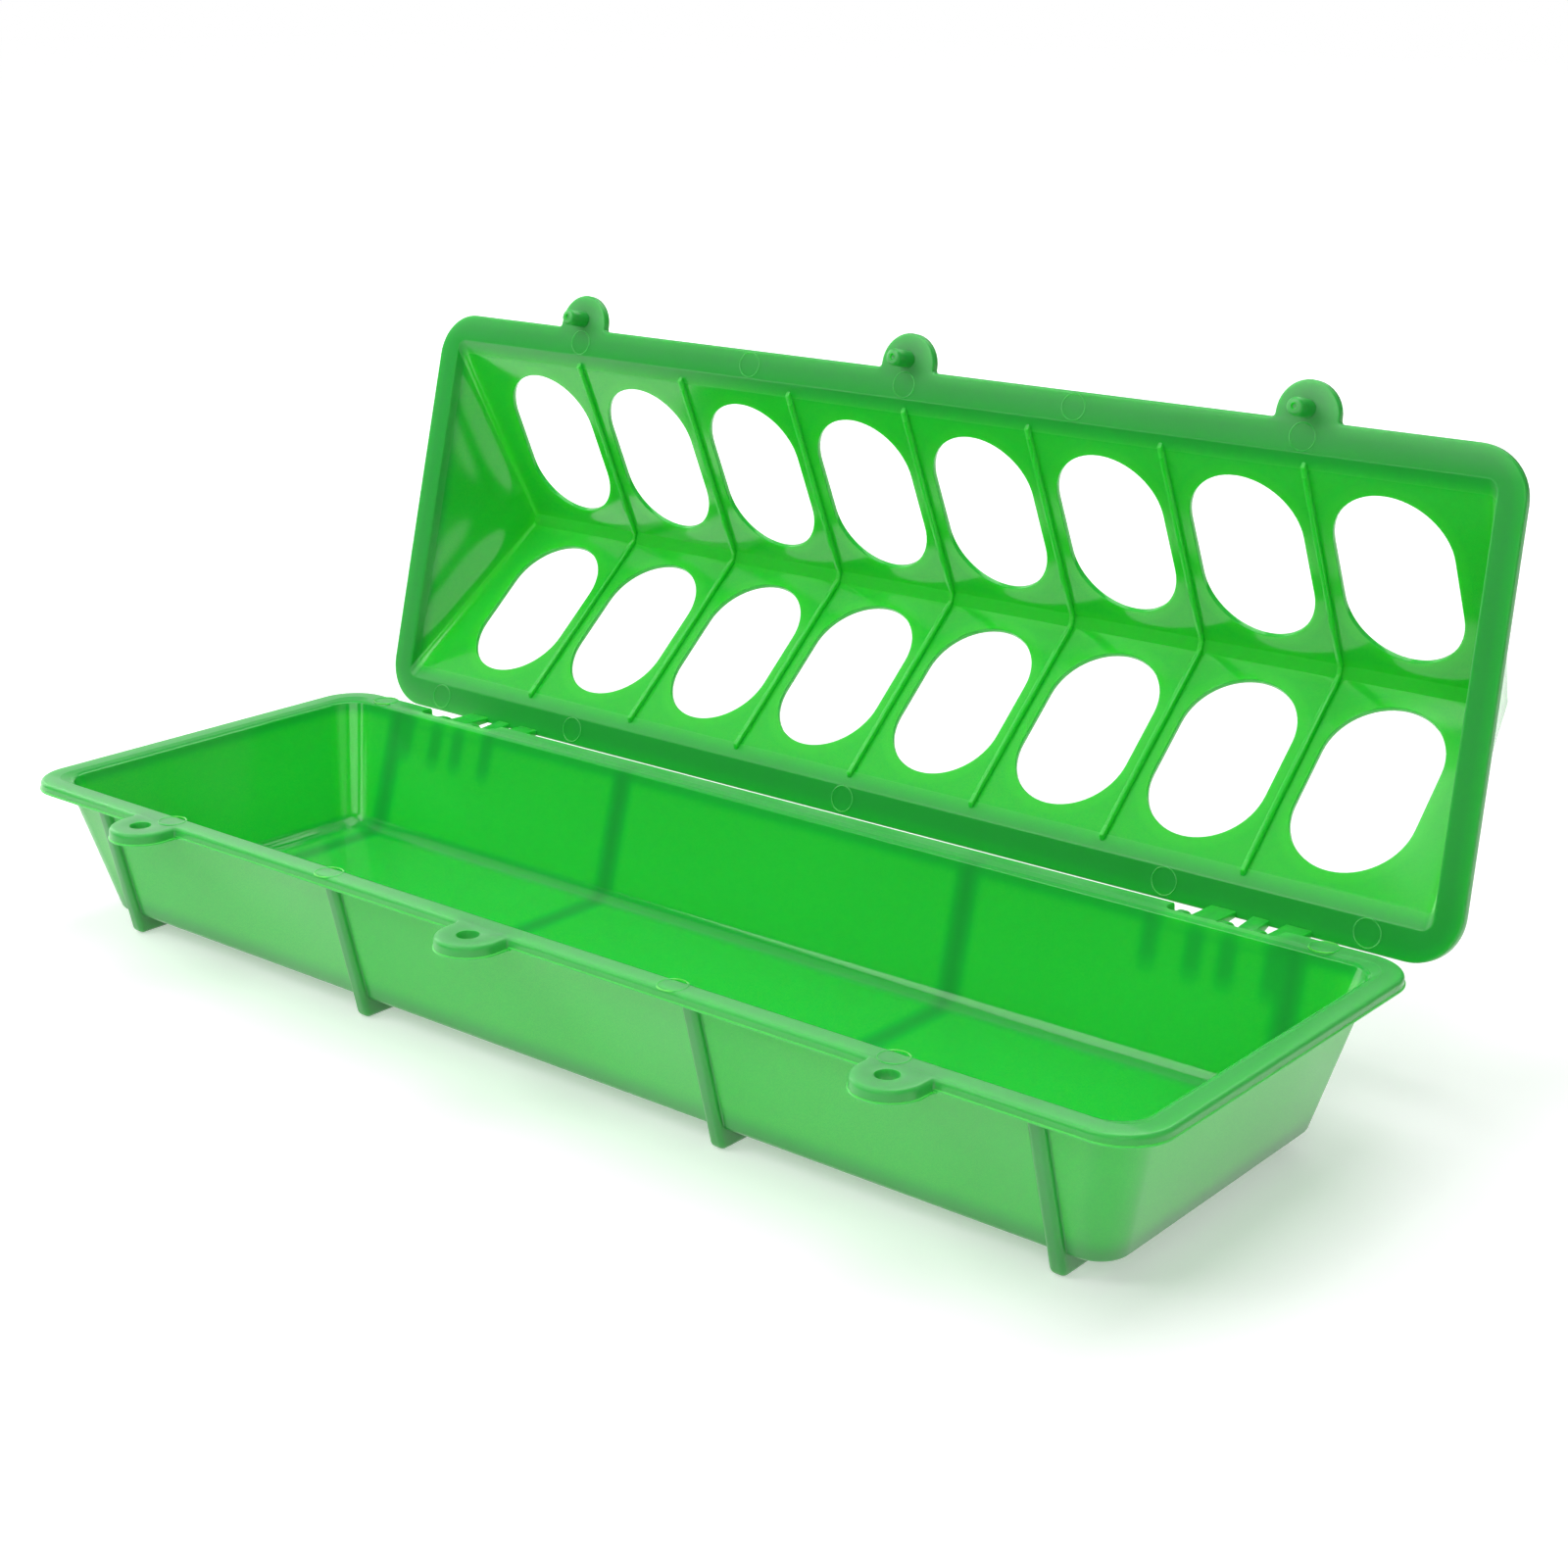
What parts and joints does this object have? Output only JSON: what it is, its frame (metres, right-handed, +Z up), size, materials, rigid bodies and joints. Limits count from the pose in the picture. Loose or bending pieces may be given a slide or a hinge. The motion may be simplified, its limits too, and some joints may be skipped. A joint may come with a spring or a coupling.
{
  "type": "flip-top poultry feeder trough",
  "caption": "Long moulded feeder trough with a hinged gable lid whose two slopes carry rows of round-ended feeding holes; the lid snaps shut on pegs.",
  "frame": {"origin": "centre of the bounding box's bottom face, under the feet, with the lid open as in the picture", "axes": "+X along the trough, +Y from the trough to the hinge side where the open lid stands, +Z up"},
  "size_m": [0.3014, 0.166, 0.1375],
  "materials": {
    "trough_plastic": "glossy green injection-moulded plastic, slightly translucent",
    "lid_plastic": "glossy green injection-moulded plastic, slightly translucent"
  },
  "bodies": {
    "trough": {"trough": "trough_plastic"},
    "lid": {"lid": "lid_plastic"}
  },
  "joints": [
    {"name": "lid_hinge", "type": "hinge", "parent": "trough", "child": "lid", "pos_m": [0, 0.0314, 0.0283], "axis": [1, 0, 0], "range_deg": [0, 102.9]}
  ]
}
